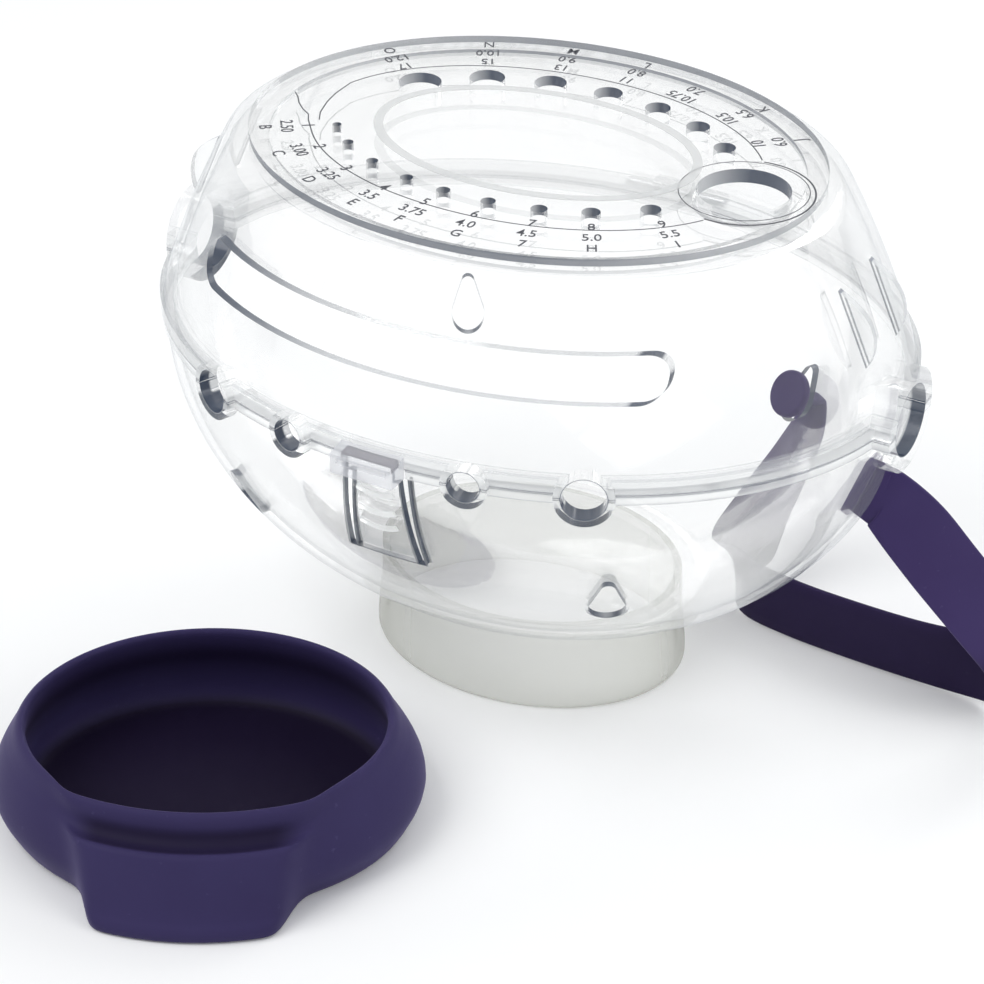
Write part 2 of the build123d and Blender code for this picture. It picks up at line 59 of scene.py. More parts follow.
# The studio: a pale floor and soft panels of light in a white room. Shader sums are written
# as Python expressions on Wire, which stands for one socket of a node tree.
class Wire:
    """A socket of a node tree. Arithmetic on it adds Math nodes, and node() adds any other."""

    def __init__(self, tree, socket=None):
        self.tree, self.socket = tree, socket

    def node(self, kind, sockets=None, out=0, **settings):
        made = self.tree.nodes.new(kind)
        for name, value in settings.items():
            setattr(made, name, value)
        for name, value in (sockets or {}).items():
            if isinstance(value, Wire):
                self.tree.links.new(value.socket, made.inputs[name])
            else:
                made.inputs[name].default_value = value
        return Wire(self.tree, made.outputs[out] if made.outputs else None)

    def maths(self, operation, *others):
        return self.node("ShaderNodeMath", dict(enumerate((self, *others))), operation=operation)

    def __add__(self, other):
        return self.maths("ADD", other)

    def __sub__(self, other):
        return self.maths("SUBTRACT", other)

    def __rsub__(self, other):
        return self.node("ShaderNodeMath", {0: other, 1: self}, operation="SUBTRACT")

    def __mul__(self, other):
        return self.maths("MULTIPLY", other)

    def __truediv__(self, other):
        return self.maths("DIVIDE", other)

    def __pow__(self, other):
        return self.maths("POWER", other)

    __radd__ = __add__
    __rmul__ = __mul__

    def within(self, low=0.0, high=1.0):
        return self.maths("MAXIMUM", low).maths("MINIMUM", high)

    def step(self, low, high):
        """0 below low, 1 above high and smooth between."""
        return self.node("ShaderNodeMapRange", {"Value": self, "From Min": low, "From Max": high},
                         interpolation_type="SMOOTHSTEP")

    def band(self, low, high, soft):
        """1 between low and high, and 0 outside them."""
        return self.step(low - soft, low + soft) * (1 - self.step(high - soft, high + soft))

    def tint(self, first, second):
        """The colour this share of the way from first to second."""
        return self.node("ShaderNodeMix", {0: self, 6: first, 7: second}, out=2, data_type="RGBA")

    def part(self, axis):
        return self.node("ShaderNodeSeparateXYZ", {0: self}, out=axis)

    def vector(self, operation, *others, out="Vector"):
        return self.node("ShaderNodeVectorMath", dict(enumerate((self, *others))), out=out,
                         operation=operation)

    def dot(self, other):
        return self.vector("DOT_PRODUCT", other, out="Value")


def material(name):
    """A new empty material and the start of its node tree."""
    made = bpy.data.materials.new(name)
    made.use_nodes = True
    made.node_tree.nodes.clear()
    return made, Wire(made.node_tree)


def dress(obj, made):
    obj.data.materials.clear()
    obj.data.materials.append(made)


floor_half = 6.0
floor_gap = 0.0002
floor_fade = 0.45, 1.3
floor_mesh = bpy.data.meshes.new("floor")
floor_mesh.from_pydata([(-floor_half, -floor_half, 0), (floor_half, -floor_half, 0),
                        (floor_half, floor_half, 0), (-floor_half, floor_half, 0)], [], [(0, 1, 2, 3)])
floor = bpy.data.objects.new("floor", floor_mesh)
floor.location.z = -floor_gap
scene.collection.objects.link(floor)
floor_paint, start = material("pale_floor")
speck = start.node("ShaderNodeTexNoise", {"Scale": 40.0}, out="Fac")
far_off = start.node("ShaderNodeTexCoord", out="Object").vector("LENGTH", out="Value").step(*floor_fade)
near_floor = start.node("ShaderNodeBsdfPrincipled", {
    "Base Color": speck.tint((0.94, 0.94, 0.94, 1), (0.96, 0.96, 0.96, 1)), "Roughness": 0.8,
    "Specular IOR Level": 0.1})
white = start.node("ShaderNodeEmission", {"Color": (1, 1, 1, 1), "Strength": 1.0})
looked_on = start.node("ShaderNodeLightPath", out="Is Camera Ray")
start.node("ShaderNodeOutputMaterial", {"Surface": start.node("ShaderNodeMixShader", {
    0: far_off * looked_on, 1: near_floor, 2: white})})
dress(floor, floor_paint)

scene.world = scene.world or bpy.data.worlds.new("studio")
scene.world.use_nodes = True
scene.world.node_tree.nodes.clear()
start = Wire(scene.world.node_tree)
seen = sum((start.node("ShaderNodeLightPath", out=f"Is {ray} Ray") for ray in ("Glossy", "Transmission")),
           start.node("ShaderNodeLightPath", out="Is Camera Ray")).within()
room_light = start.node("ShaderNodeBackground", {"Color": (0.96, 0.98, 1.0, 1), "Strength": 0.62})
white_room = start.node("ShaderNodeBackground", {"Color": (1, 1, 1, 1), "Strength": 1.0})
start.node("ShaderNodeOutputWorld", {"Surface": start.node("ShaderNodeMixShader",
                                                           {0: seen, 1: room_light, 2: white_room})})

lit_point = Vector((0, 0, 0.08))
for name, place, width, power in [("key_panel", (-0.6, -0.7, 1.2), 0.9, 9.0),
                                  ("back_panel", (0.3, 1.1, 1.0), 0.8, 6.0),
                                  ("side_panel", (1.1, -0.1, 0.7), 0.6, 3.0)]:
    panel = bpy.data.lights.new(name, "AREA")
    panel.shape, panel.size, panel.energy = "SQUARE", width, power
    lamp = bpy.data.objects.new(name, panel)
    lamp.location = place
    lamp.rotation_euler = (lit_point - Vector(place)).to_track_quat("-Z", "Y").to_euler()
    scene.collection.objects.link(lamp)


# Bowl: one water-clear oval moulding with a flat underside and a rolled rim, painted with a highlight.
# Light that enters its cut edges, such as the walls of its holes, doesn't come out again, so they
# look dark: that shade is painted on them in slate.
side_ratio = 0.79
rim_z = 0.105
bowl_half_length = 0.1084
bowl_depth = 0.0831
bowl_centre_z = 0.101
painted_cut_shade = (0.045, 0.062, 0.10, 1)


def clear_plastic(name, face, edge, cut_edges, dark_side=(0.5, 0.0, 0.7), bright=None, lines=None):
    """Clear moulding: face and edge are how solid it looks from the front and along its walls, which
    are painted grey there as shade. Its cut edges get painted slate shade, darkest where they face
    dark_side; bright marks where a pale highlight is painted, such as its lip, and lines are its
    sharp grey corners."""
    made, start = material(name)
    place = start.node("ShaderNodeTexCoord", out="Object")
    normal = start.node("ShaderNodeTexCoord", out="Normal")
    facing = start.node("ShaderNodeLayerWeight", {"Blend": 0.5}, out="Facing")
    outline = facing.step(0.82, 0.95)
    grazing = ((facing ** 4.0) * 0.4 + outline * 0.6).within()
    waves = start.node("ShaderNodeTexNoise", {"Vector": place, "Scale": 26.0, "Detail": 1.5}, out="Fac")
    # Painted shade: cut edges are tinted slate and made more solid, darkest where they face dark_side.
    dark = (cut_edges(place, normal) * (0.85 + 0.6 * normal.dot(dark_side)).within(0.25)).within()
    # Painted shade: walls seen edge-on turn grey.
    colour = grazing.tint((0.90, 0.925, 0.92, 1), (0.30, 0.34, 0.39, 1))
    solid = face + (waves - 0.5) * face * 0.5 + grazing * (edge - face)
    if bright:
        # Painted highlight: the marked parts are tinted pale and made more solid.
        lip = bright(place)
        colour = lip.tint(colour, (0.95, 0.965, 0.96, 1))
        solid = solid + lip * 0.35
    if lines:
        thin = lines(place)
        colour = thin.tint(colour, (0.13, 0.15, 0.19, 1))
        solid = (solid + thin * 0.55).within()
    colour = dark.tint(colour, painted_cut_shade)
    body = start.node("ShaderNodeBsdfPrincipled", {"Base Color": colour, "Roughness": 0.15, "IOR": 1.49})
    through = start.node("ShaderNodeBsdfTransparent", {"Color": (1, 1, 1, 1)})
    gloss = start.node("ShaderNodeBsdfGlossy", {"Color": (1, 1, 1, 1), "Roughness": 0.05})
    mirror = start.node("ShaderNodeFresnel", {"IOR": 1.35})
    shell = start.node("ShaderNodeMixShader", {0: (solid + dark * 0.92).within(), 1: through, 2: body})
    start.node("ShaderNodeOutputMaterial", {"Surface": start.node("ShaderNodeMixShader", {
        0: mirror * (1 - dark) * 0.4, 1: shell, 2: gloss})})
    return made


def square_to(normal, outward):
    """Mask of faces that stand square to the moulding's wall, whose outward direction is given."""
    return 1 - normal.dot(outward.vector("NORMALIZE")).maths("ABSOLUTE").step(0.5, 0.75)


def round_hole(place, centre, outward, radius, depth=0.05):
    """Mask of the wall of a round hole that runs along outward through centre, paler below depth."""
    offset = place.vector("SUBTRACT", centre)
    along = offset.dot(outward)
    wall = 1 - ((offset.dot(offset) - along * along).within(0) ** 0.5).step(radius, radius + 0.0004)
    return wall * (0.3 + 0.7 * along.step(-depth - 0.001, -depth))


end_hole_radius = 0.010
dark_depth = 0.0005
rim_half_length = 0.11
yarn_holes = [(0.0553, 0.006), (0.026, 0.0044)]


def rim_hole_walls(place):
    """Mask of the yarn holes' walls, which are shared by the bowl's rim and the lid's. They get
    painted shade only where they are seen through the hole itself."""
    mirrored = place.vector("ABSOLUTE")
    front = 1 - place.part("Y").step(-0.02, -0.019)
    walls = round_hole(mirrored, (rim_half_length, 0, rim_z), (1, 0, 0), end_hole_radius, dark_depth)
    for hole_x, radius in yarn_holes:
        hole_y = side_ratio * sqrt(rim_half_length ** 2 - hole_x ** 2)
        outward = Vector((hole_x, hole_y / side_ratio ** 2, 0)).normalized()
        walls = walls + round_hole(mirrored, (hole_x, hole_y, rim_z), outward, radius, dark_depth) * front
    seen = 1 - place.node("ShaderNodeNewGeometry", out="Backfacing") * 0.9
    return walls.within() * seen * place.part("Z").band(0.094, 0.116, 0.001)


slit_lean = 0.0781
slit_middle_at_floor = 0.0162
drop_place, drop_outward = (0.05598, 0.0620, 0.063), (0.427, 0.758, -0.493)
drop_strip_radius = 0.0056


def front_wall(y):
    return 1 - y.step(-0.051, -0.05)


def slit_edges(place):
    """Mask of painted shade on the two slits beside the tongue and on a narrow strip along each of them."""
    x, y, z = (place.part(axis) for axis in "XYZ")
    off_slit = (x.maths("ABSOLUTE") - slit_middle_at_floor + z * slit_lean).maths("ABSOLUTE")
    return (1 - off_slit.step(0.0016, 0.0018)) * z.band(0.0724, 0.1015, 0.0002) * front_wall(y)


def drop_edges(place):
    """Mask of a narrow strip of painted shade under the round lower end of each front teardrop hole."""
    x, y, z = (place.part(axis) for axis in "XYZ")
    strip = round_hole(place.vector("ABSOLUTE"), drop_place, drop_outward, drop_strip_radius)
    return strip * (1 - z.step(0.0605, 0.0645)) * front_wall(y)


# Painted slate shade on the bowl: its walls cut square to the shell, except at the strap slot, and the
# slits, teardrop strips and yarn holes.
def bowl_cut(place, normal):
    outward = place.vector("SUBTRACT", (0, 0, bowl_centre_z)).vector(
        "MULTIPLY", (bowl_half_length ** -2, (side_ratio * bowl_half_length) ** -2, bowl_depth ** -2))
    x, y, z = (place.part(axis) for axis in "XYZ")
    strap_slot = x.step(0.085, 0.086) * (1 - y.maths("ABSOLUTE").step(0.02, 0.021))
    left_drop = (1 - x.step(-0.041, -0.04)) * (1 - normal.part("Z").step(0.2, 0.6)) * 0.5
    walls = square_to(normal, outward) * z.band(0.05, 0.1015, 0.0005) * (1 - strap_slot) * (1 - left_drop)
    return (walls + slit_edges(place) + drop_edges(place) + rim_hole_walls(place)).within()


# Painted highlight along the rolled rim.
def bowl_lip_highlight(place):
    return place.part("Z").band(0.1024, 0.1044, 0.0002)


def bowl_lines(place):
    """The parting line under the lid and the lower corner of the rim."""
    z = place.part("Z")
    return (z.band(0.1045, 0.10485, 0.0001) + z.band(0.1021, 0.1025, 0.0001) * 0.45).within()


dress(nodes["bowl_shell"], clear_plastic("clear_bowl_plastic", 0.03, 0.62, bowl_cut,
                                         bright=bowl_lip_highlight, lines=bowl_lines))


# Foot: a pale ring, slightly milky, that the bowl's flat underside is bonded to.
def milky_plastic(name, pale, dark, solid, grain, shaded=None):
    """Pale translucent moulding, with painted shade along its outline and on its shaded faces."""
    made, start = material(name)
    place = start.node("ShaderNodeTexCoord", out="Object")
    facing = start.node("ShaderNodeLayerWeight", {"Blend": 0.5}, out="Facing")
    clouds = start.node("ShaderNodeTexNoise", {"Vector": place, "Scale": 40.0, "Detail": 3.0}, out="Fac")
    fine = start.node("ShaderNodeTexNoise", {"Vector": place, "Scale": grain, "Detail": 2.0}, out="Fac")
    bumps = start.node("ShaderNodeBump", {"Height": fine, "Strength": 0.05, "Distance": 0.0003})
    colour = ((facing ** 2.5) * 0.85 + clouds * 0.12).within().tint(pale, dark)
    cover = solid + (facing ** 2) * 0.4
    if shaded:
        deep = shaded(place)
        colour = deep.tint(colour, (0.055, 0.04, 0.07, 1))
        cover = cover + deep * 0.8
    body = start.node("ShaderNodeBsdfPrincipled", {"Base Color": colour, "Roughness": 0.3 + clouds * 0.1,
                                                  "Normal": bumps})
    through = start.node("ShaderNodeBsdfTransparent", {"Color": (1, 1, 1, 1)})
    start.node("ShaderNodeOutputMaterial", {"Surface": start.node("ShaderNodeMixShader", {
        0: cover.within(), 1: through, 2: body})})
    return made


dress(nodes["pedestal_foot"], milky_plastic(
    "pale_foot_plastic", (0.70, 0.71, 0.64, 1), (0.24, 0.24, 0.21, 1), 0.24, 700.0))


# Lid: the same clear plastic, with a tall flange where it meets the bowl, a feed slot
# along the front and two small half-moon fins at each end. The flange and the fins get a painted highlight.
lid_lean = 0.45
lid_middle_half_length = 0.098
lid_foot_half_length, lid_foot_z = 0.1088, 0.10935


def beyond_lid(place):
    """How far out a point near the lid's ends is, less where the leaning wall is there."""
    up = place.part("Z") - lid_foot_z
    return place.part("X").maths("ABSOLUTE") + up * lid_lean - lid_foot_half_length


def fin(place):
    """Mask of the four fins, outside the lid's wall."""
    level = place.part("Y").maths("ABSOLUTE").band(0.0088, 0.0112, 0.0001)
    level = level * place.part("Z").band(0.1215, 0.1455, 0.0002)
    return level * beyond_lid(place).step(0.0010, 0.0012)


# Painted slate shade on the feed slot's walls, paler from its left end towards the middle and dark again at
# its right end, on the fins' edges and on the yarn holes' walls.
def lid_cut(place, normal):
    x, y, z = (place.part(axis) for axis in "XYZ")
    outward = place.node("ShaderNodeCombineXYZ", {
        0: x, 1: y / side_ratio ** 2, 2: lid_lean * lid_middle_half_length})
    slot = square_to(normal, outward) * z.band(0.1265, 0.1405, 0.0003) * (1 - y.step(-0.035, -0.034))
    faded = slot * (1 - 0.45 * x.step(-0.06, 0.0)) * (1 + 1.8 * x.step(0.060, 0.064))
    fin_edge = fin(place) * (1 - normal.part("Y").maths("ABSOLUTE").step(0.5, 0.8)) * 0.45
    return (faded + fin_edge + rim_hole_walls(place)).within()


# Painted highlight on the flange and, fainter, on the fins.
def lid_highlight(place):
    return place.part("Z").band(0.1057, 0.1090, 0.0003) * 0.8 + fin(place) * 0.35


def lid_lines(place):
    """The flange's upper and lower corners, and the root of each fin."""
    z = place.part("Z")
    fin_root = fin(place) * (1 - beyond_lid(place).step(0.0016, 0.0019))
    return (z.band(0.1092, 0.10955, 0.0001) * 0.5 + z.band(0.1051, 0.1055, 0.0001) + fin_root).within()


dress(nodes["lid_shell"], clear_plastic("clear_lid_plastic", 0.02, 0.6, lid_cut,
                                        bright=lid_highlight, lines=lid_lines))


# Gauge plate: a flat clear plate let into the top of the lid. Its rim and the walls of its
# measuring holes are cut square, so they look dark; they are painted with slate grey bands of shade.
plate_z = 0.16
plate_half_length = 0.0815


def plate_cut(place, normal):
    """Mask of painted shade: the rim's wall and, in the holes, the near part of the wall that shows through
    the opening.
    """
    upright = 1 - normal.part("Z").maths("ABSOLUTE").step(0.4, 0.7)
    level = place.vector("MULTIPLY", (1 / plate_half_length, 1 / (side_ratio * plate_half_length), 0))
    rim = level.vector("LENGTH", out="Value").step(0.9, 0.93)
    back = place.node("ShaderNodeNewGeometry", out="Backfacing")
    holes = (1 - rim) * (1 - back)
    return upright * (rim * 0.9 + holes).within()


dress(nodes["gauge_plate"], clear_plastic("clear_plate_plastic", 0.03, 0.3, plate_cut,
                                          dark_side=(-0.3, -0.35, 0)))

ridge_half_length, ridge_half_width = 0.046, 0.0297
ridge_place = Vector((0.0007, -0.0005, 0))
ridge_width, ridge_height, ridge_sink = 0.0026, 0.0002, 0.0001
print_height = 0.00006


def ribbon(name, points, width, closed=False, height=print_height, z=plate_z):
    """Flat printed line of this width along points on the plate, a hair proud of it."""
    mesh = bmesh.new()
    count = len(points)
    rails = []
    for i, point in enumerate(points):
        ahead = points[(i + 1) % count] if closed or i < count - 1 else point
        behind = points[i - 1] if closed or i else point
        along = (Vector(ahead) - Vector(behind)).normalized()
        side = Vector((-along.y, along.x, 0)) * width / 2
        middle = Vector((point[0], point[1], z))
        up = Vector((0, 0, height))
        corners = (middle + side, middle - side, middle - side + up, middle + side + up)
        rails.append([mesh.verts.new(corner) for corner in corners])
    pairs = list(zip(rails, rails[1:] + (rails[:1] if closed else [])))
    for near, far in pairs:
        for k in range(4):
            mesh.faces.new([near[k], near[(k + 1) % 4], far[(k + 1) % 4], far[k]])
    if not closed:
        mesh.faces.new(rails[0][::-1])
        mesh.faces.new(rails[-1])
    bmesh.ops.recalc_face_normals(mesh, faces=mesh.faces)
    return as_object(name, mesh)


def as_object(name, mesh, smooth=False):
    data = bpy.data.meshes.new(name)
    mesh.to_mesh(data)
    mesh.free()
    for face in data.polygons:
        face.use_smooth = smooth
    made = bpy.data.objects.new(name, data)
    scene.collection.objects.link(made)
    return made


def oval_points(half_length, half_width, centre, first, last, count):
    angles = [radians(first + (last - first) * i / (count - 1)) for i in range(count)]
    return [(centre[0] + half_length * cos(a), centre[1] + half_width * sin(a), 0) for a in angles]


ridge = ribbon("plate_ridge", oval_points(ridge_half_length, ridge_half_width, ridge_place, 0, 357.5, 144),
               ridge_width, closed=True, height=ridge_height, z=plate_z - ridge_sink)
ridge_plastic, start = material("soft_ridge_plastic")
place = start.node("ShaderNodeTexCoord", out="Object")
clouds = start.node("ShaderNodeTexNoise", {"Vector": place, "Scale": 30.0, "Detail": 2.0}, out="Fac")
start.node("ShaderNodeOutputMaterial", {"Surface": start.node("ShaderNodeMixShader", {
    0: 0.35 + clouds * 0.25, 1: start.node("ShaderNodeBsdfTransparent", {"Color": (1, 1, 1, 1)}),
    2: start.node("ShaderNodeBsdfPrincipled", {
        "Base Color": clouds.tint((0.62, 0.63, 0.63, 1), (0.74, 0.75, 0.75, 1)), "Roughness": 0.3})})})
dress(ridge, ridge_plastic)
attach(ridge, "lid")


# Size marks: printed dark grey beside each measuring hole, in three rows that read from the
# plate's edge: needle number, millimetres and hook letter. A thin line runs round the holes.
ring_half_length, ring_half_width = 0.059, 0.0401
cap_height, cap_share = 0.0037, 0.73
letter_half_height, letter_boldness, letter_squeeze = 0.00005, 0.00002, 0.86
first_row_gap, row_step = 0.0072, 0.0058
sizes = [(2.5, -153.2, "1", "2.50", "B"), (3.0, -138.7, "2", "3.00", "C"), (3.25, -123.5, "3", "3.25", "D"),
         (3.5, -109.0, "4", "3.5", "E"), (3.75, -96.6, "5", "3.75", "F"), (4.0, -83.2, "6", "4.0", "G"),
         (4.5, -69.0, "7", "4.5", "7"), (5.0, -54.3, "8", "5.0", "H"), (5.5, -35.6, "9", "5.5", "I"),
         (6.0, 33.5, "10", "6.0", "J"), (6.5, 51.4, "10.5", "6.5", "K"), (7.0, 68.9, "10.75", "7.0", ""),
         (8.0, 86.1, "11", "8.0", "L"), (9.0, 104.4, "13", "9.0", "M"), (10.0, 124.6, "15", "10.0", "N"),
         (12.0, 149.5, "17", "12.0", "O")]

marks = bmesh.new()
for millimetres, angle, *rows in sizes:
    radius = millimetres / 2000
    hole = Vector(((ring_half_length - radius) * cos(radians(angle)),
                   (ring_half_width - radius) * sin(radians(angle)), 0))
    outward = Vector((hole.x, hole.y / side_ratio ** 3, 0)).normalized()
    first_row = first_row_gap + radius * 0.6 + (0.0006 if hole.y > 0 else 0)
    for row, words in enumerate(rows):
        if not words:
            continue
        letters = bpy.data.curves.new("letters", "FONT")
        letters.body, letters.size = words, cap_height / cap_share
        letters.align_x, letters.align_y = "CENTER", "CENTER"
        letters.resolution_u = 3
        letters.extrude, letters.offset = letter_half_height, letter_boldness
        text = bpy.data.objects.new("letters", letters)
        flat = bpy.data.meshes.new_from_object(text)
        middle = hole + outward * (first_row + row * row_step) + Vector((0, 0, plate_z + print_height))
        up = -outward
        across = up.cross(Vector((0, 0, 1)))
        flat.transform(Matrix.Translation(middle) @ Matrix((across, up, (0, 0, 1))).transposed().to_4x4()
                       @ Matrix.Diagonal((letter_squeeze, 1, 1, 1)))
        marks.from_mesh(flat)
        bpy.data.objects.remove(text)
        bpy.data.curves.remove(letters)
        bpy.data.meshes.remove(flat)
size_marks = as_object("size_marks", marks)

ink, start = material("grey_ink")
place = start.node("ShaderNodeTexCoord", out="Object")
wear = start.node("ShaderNodeTexNoise", {"Vector": place, "Scale": 900.0, "Detail": 2.0}, out="Fac")
start.node("ShaderNodeOutputMaterial", {"Surface": start.node("ShaderNodeBsdfPrincipled", {
    "Base Color": wear.tint((0.035, 0.038, 0.050, 1), (0.075, 0.078, 0.092, 1)), "Roughness": 0.6})})

line_centre = (0.0011, -0.0023)
lobe_centre, lobe_radius = (0.0623, -0.0012), 0.0189
gauge_line = oval_points(0.0647, 0.0453, line_centre, -24, -151, 56)
gauge_line += [(-0.0598, -0.0189, 0), (-0.0617, -0.0158, 0), (-0.0646, -0.0139, 0), (-0.0679, -0.0108, 0),
               (-0.0701, -0.0078, 0), (-0.0724, -0.0055, 0)]
back_line = oval_points(0.0647, 0.0453, line_centre, 27, 168, 60)
back_line += [(-0.0622, -0.001, 0), (-0.0614, -0.0065, 0), (-0.0595, -0.0132, 0), (-0.0572, -0.0175, 0)]
lobe_line = oval_points(lobe_radius, lobe_radius, lobe_centre, -97, 98, 40)
dock_line = oval_points(0.0172, 0.0172, (0.0622, -0.0004), 0, 352, 45)
lines = [ribbon("gauge_line_front", gauge_line, 0.00036), ribbon("gauge_line_back", back_line, 0.00036),
         ribbon("docking_line", lobe_line, 0.0005), ribbon("docking_ring", dock_line, 0.00026, closed=True)]

for piece in [size_marks, *lines]:
    dress(piece, ink)
    piece.visible_shadow = False
    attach(piece, "lid")


# Catch: a milky block on the front of the lid with a window that the tongue's hook snaps into.
def catch_window_shade(place):
    """Mask of painted shade for the room behind the window, which looks dark above the bar."""
    x, y, z = (place.part(axis) for axis in "XYZ")
    between_cheeks = 1 - x.maths("ABSOLUTE").step(0.0076, 0.0077)
    return between_cheeks * y.step(-0.0903, -0.0902) * z.band(0.1054, 0.1078, 0.0001)


dress(nodes["lid_catch"], milky_plastic(
    "frosted_catch_plastic", (0.88, 0.89, 0.92, 1), (0.22, 0.24, 0.32, 1), 0.3, 900.0, shaded=catch_window_shade))


# Tongue: the springy strip between two slits in the bowl's front wall, with three finger ribs.
# It is moulded in one with the bowl.
# Painted slate shade on the tongue's side walls and on a strip beside each slit below its top.
def tongue_cut(place, normal):
    slant = place.part("X").maths("ABSOLUTE") + (place.part("Z") - 0.1) * slit_lean
    side = normal.part("X").maths("ABSOLUTE").step(0.6, 0.9) * slant.step(0.0066, 0.0068)
    return (side + slant.step(0.0066, 0.0068) * (1 - place.part("Z").step(0.0995, 0.1005))).within()


def tongue_rib_highlight(place):
    """Mask of the finger ribs, which stand proud of the bowl's wall and get a painted highlight."""
    reach = place.vector("SUBTRACT", (0, 0, bowl_centre_z)).vector(
        "DIVIDE", (bowl_half_length, side_ratio * bowl_half_length, bowl_depth))
    return reach.dot(reach).step(1.004, 1.010) * (1 - place.part("Z").step(0.0975, 0.098)) * 1.6


dress(nodes["latch_tongue"], clear_plastic("clear_tongue_plastic", 0.06, 0.7, tongue_cut,
                                           bright=tongue_rib_highlight))


# Hinge pin: plain steel, through the three knuckles at the back.
steel, start = material("pin_steel")
place = start.node("ShaderNodeTexCoord", out="Object")
turned = start.node("ShaderNodeTexNoise", {"Vector": place, "Scale": 1200.0, "Detail": 2.0}, out="Fac")
start.node("ShaderNodeOutputMaterial", {"Surface": start.node("ShaderNodeBsdfPrincipled", {
    "Base Color": turned.tint((0.55, 0.56, 0.58, 1), (0.68, 0.68, 0.69, 1)), "Metallic": 1.0,
    "Roughness": 0.22 + turned * 0.12})})
dress(nodes["hinge_pin"], steel)


# Strap: a flat band of soft purple silicone with rounded edges. Its first end is a bar inside
# the end wall and its second a button pushed through a teardrop hole at the back.
def silicone(name, dark, light, grain, shade=None):
    made, start = material(name)
    place = start.node("ShaderNodeTexCoord", out="Object")
    clouds = start.node("ShaderNodeTexNoise", {"Vector": place, "Scale": 32.0, "Detail": 3.0}, out="Fac")
    fine = start.node("ShaderNodeTexNoise", {"Vector": place, "Scale": grain, "Detail": 4.0}, out="Fac")
    dust = start.node("ShaderNodeTexNoise", {"Vector": place, "Scale": 420.0, "Detail": 5.0}, out="Fac")
    dust = dust.step(0.66, 0.8)
    facing = start.node("ShaderNodeLayerWeight", {"Blend": 0.35}, out="Facing")
    bumps = start.node("ShaderNodeBump", {"Height": fine, "Strength": 0.1, "Distance": 0.0003})
    # Dust specks and a painted sheen, paler where the surface is seen edge-on, lighten the colour.
    dust_and_sheen = (dust * 0.1 + (facing ** 3) * 0.35).within()
    colour = dust_and_sheen.tint(clouds.tint(dark, light), (0.20, 0.17, 0.36, 1))
    if shade:
        colour = (shade(place) * 0.95).tint(colour, (0.004, 0.001, 0.013, 1))
    start.node("ShaderNodeOutputMaterial", {"Surface": start.node("ShaderNodeBsdfPrincipled", {
        "Base Color": colour, "Roughness": 0.55 + clouds * 0.15, "Normal": bumps,
        "Specular IOR Level": 0.14, "Sheen Weight": 0.04, "Sheen Roughness": 0.4,
        "Sheen Tint": (0.6, 0.55, 0.9, 1)})})
    return made


strap_width, strap_thickness, strap_neck = 0.020, 0.0022, 0.006
strap_route = [
    ((0.0998, 0.0025, 0.0798), (0.349, 0, 0.937), strap_width - 0.001),
    ((0.1052, 0.0025, 0.0778), (0.349, 0, 0.937), strap_width),
    ((0.109, 0.0022, 0.0762), (0.38, 0.10, 0.92), strap_width),
    ((0.116, 0.0035, 0.069), (0.42, 0.35, 0.84), strap_width),
    ((0.124, 0.0075, 0.057), (0.44, 0.55, 0.71), strap_width),
    ((0.134, 0.013, 0.042), (0.44, 0.63, 0.64), strap_width),
    ((0.141, 0.020, 0.028), (0.43, 0.60, 0.68), strap_width),
    ((0.140, 0.028, 0.016), (0.35, 0.45, 0.82), strap_width),
    ((0.130, 0.032, 0.0113), (0.15, 0.25, 0.96), strap_width),
    ((0.112, 0.0315, 0.0104), (0.02, 0.05, 1.0), strap_width),
    ((0.090, 0.032, 0.0103), (0, 0, 1), strap_width),
    ((0.068, 0.034, 0.0103), (0, 0, 1), strap_width),
    ((0.052, 0.038, 0.0108), (-0.05, 0.05, 1), strap_width),
    ((0.0455, 0.047, 0.014), (-0.45, 0.35, 0.82), strap_width),
    ((0.047, 0.057, 0.024), (-0.7, 0.5, 0.4), strap_width),
    ((0.052, 0.0655, 0.038), (-0.78, 0.55, 0.1), strap_width * 0.9),
    ((0.0565, 0.0695, 0.051), (-0.8, 0.58, 0), strap_width * 0.7),
    ((0.0588, 0.0695, 0.060), (-0.81, 0.58, 0), strap_neck),
    ((0.0574, 0.0646, 0.0623), (-0.87, 0.49, 0), strap_neck),
    ((0.0539, 0.0584, 0.0664), (-0.87, 0.49, 0), strap_neck),
]


def eased(before, first, second, after, share):
    """Smooth curve through four values in turn, between the second and the third."""
    return (first * 2 + (second - before) * share
            + (before * 2 - first * 5 + second * 4 - after) * share ** 2
            + (first * 3 - before - second * 3 + after) * share ** 3) * 0.5


places = [Vector(place) for place, across, width in strap_route]
acrosses = [Vector(across).normalized() for place, across, width in strap_route]
widths = [width for place, across, width in strap_route]
stations = []
steps = 8
for i in range(len(strap_route) - 1):
    four = [max(i - 1, 0), i, i + 1, min(i + 2, len(strap_route) - 1)]
    for k in range(steps + (i == len(strap_route) - 2)):
        share = k / steps
        stations.append([eased(*(values[j] for j in four), share) for values in (places, acrosses, widths)])
around = 24
strap = bmesh.new()
rings = []
for i, (middle, across, width) in enumerate(stations):
    along = (stations[min(i + 1, len(stations) - 1)][0] - stations[max(i - 1, 0)][0]).normalized()
    side = along.cross(across).normalized()
    across = side.cross(along).normalized()
    half, round_edge = width / 2, strap_thickness / 2
    ring = []
    for k in range(around):
        turn = 2 * pi * (k + 0.5) / around
        flat = max(half - round_edge, 0) * (1 if cos(turn) > 0 else -1) * min(1, abs(cos(turn)) * 1.6)
        over, up = flat + round_edge * cos(turn), round_edge * sin(turn)
        ring.append(strap.verts.new(middle + across * over + side * up))
    rings.append(ring)
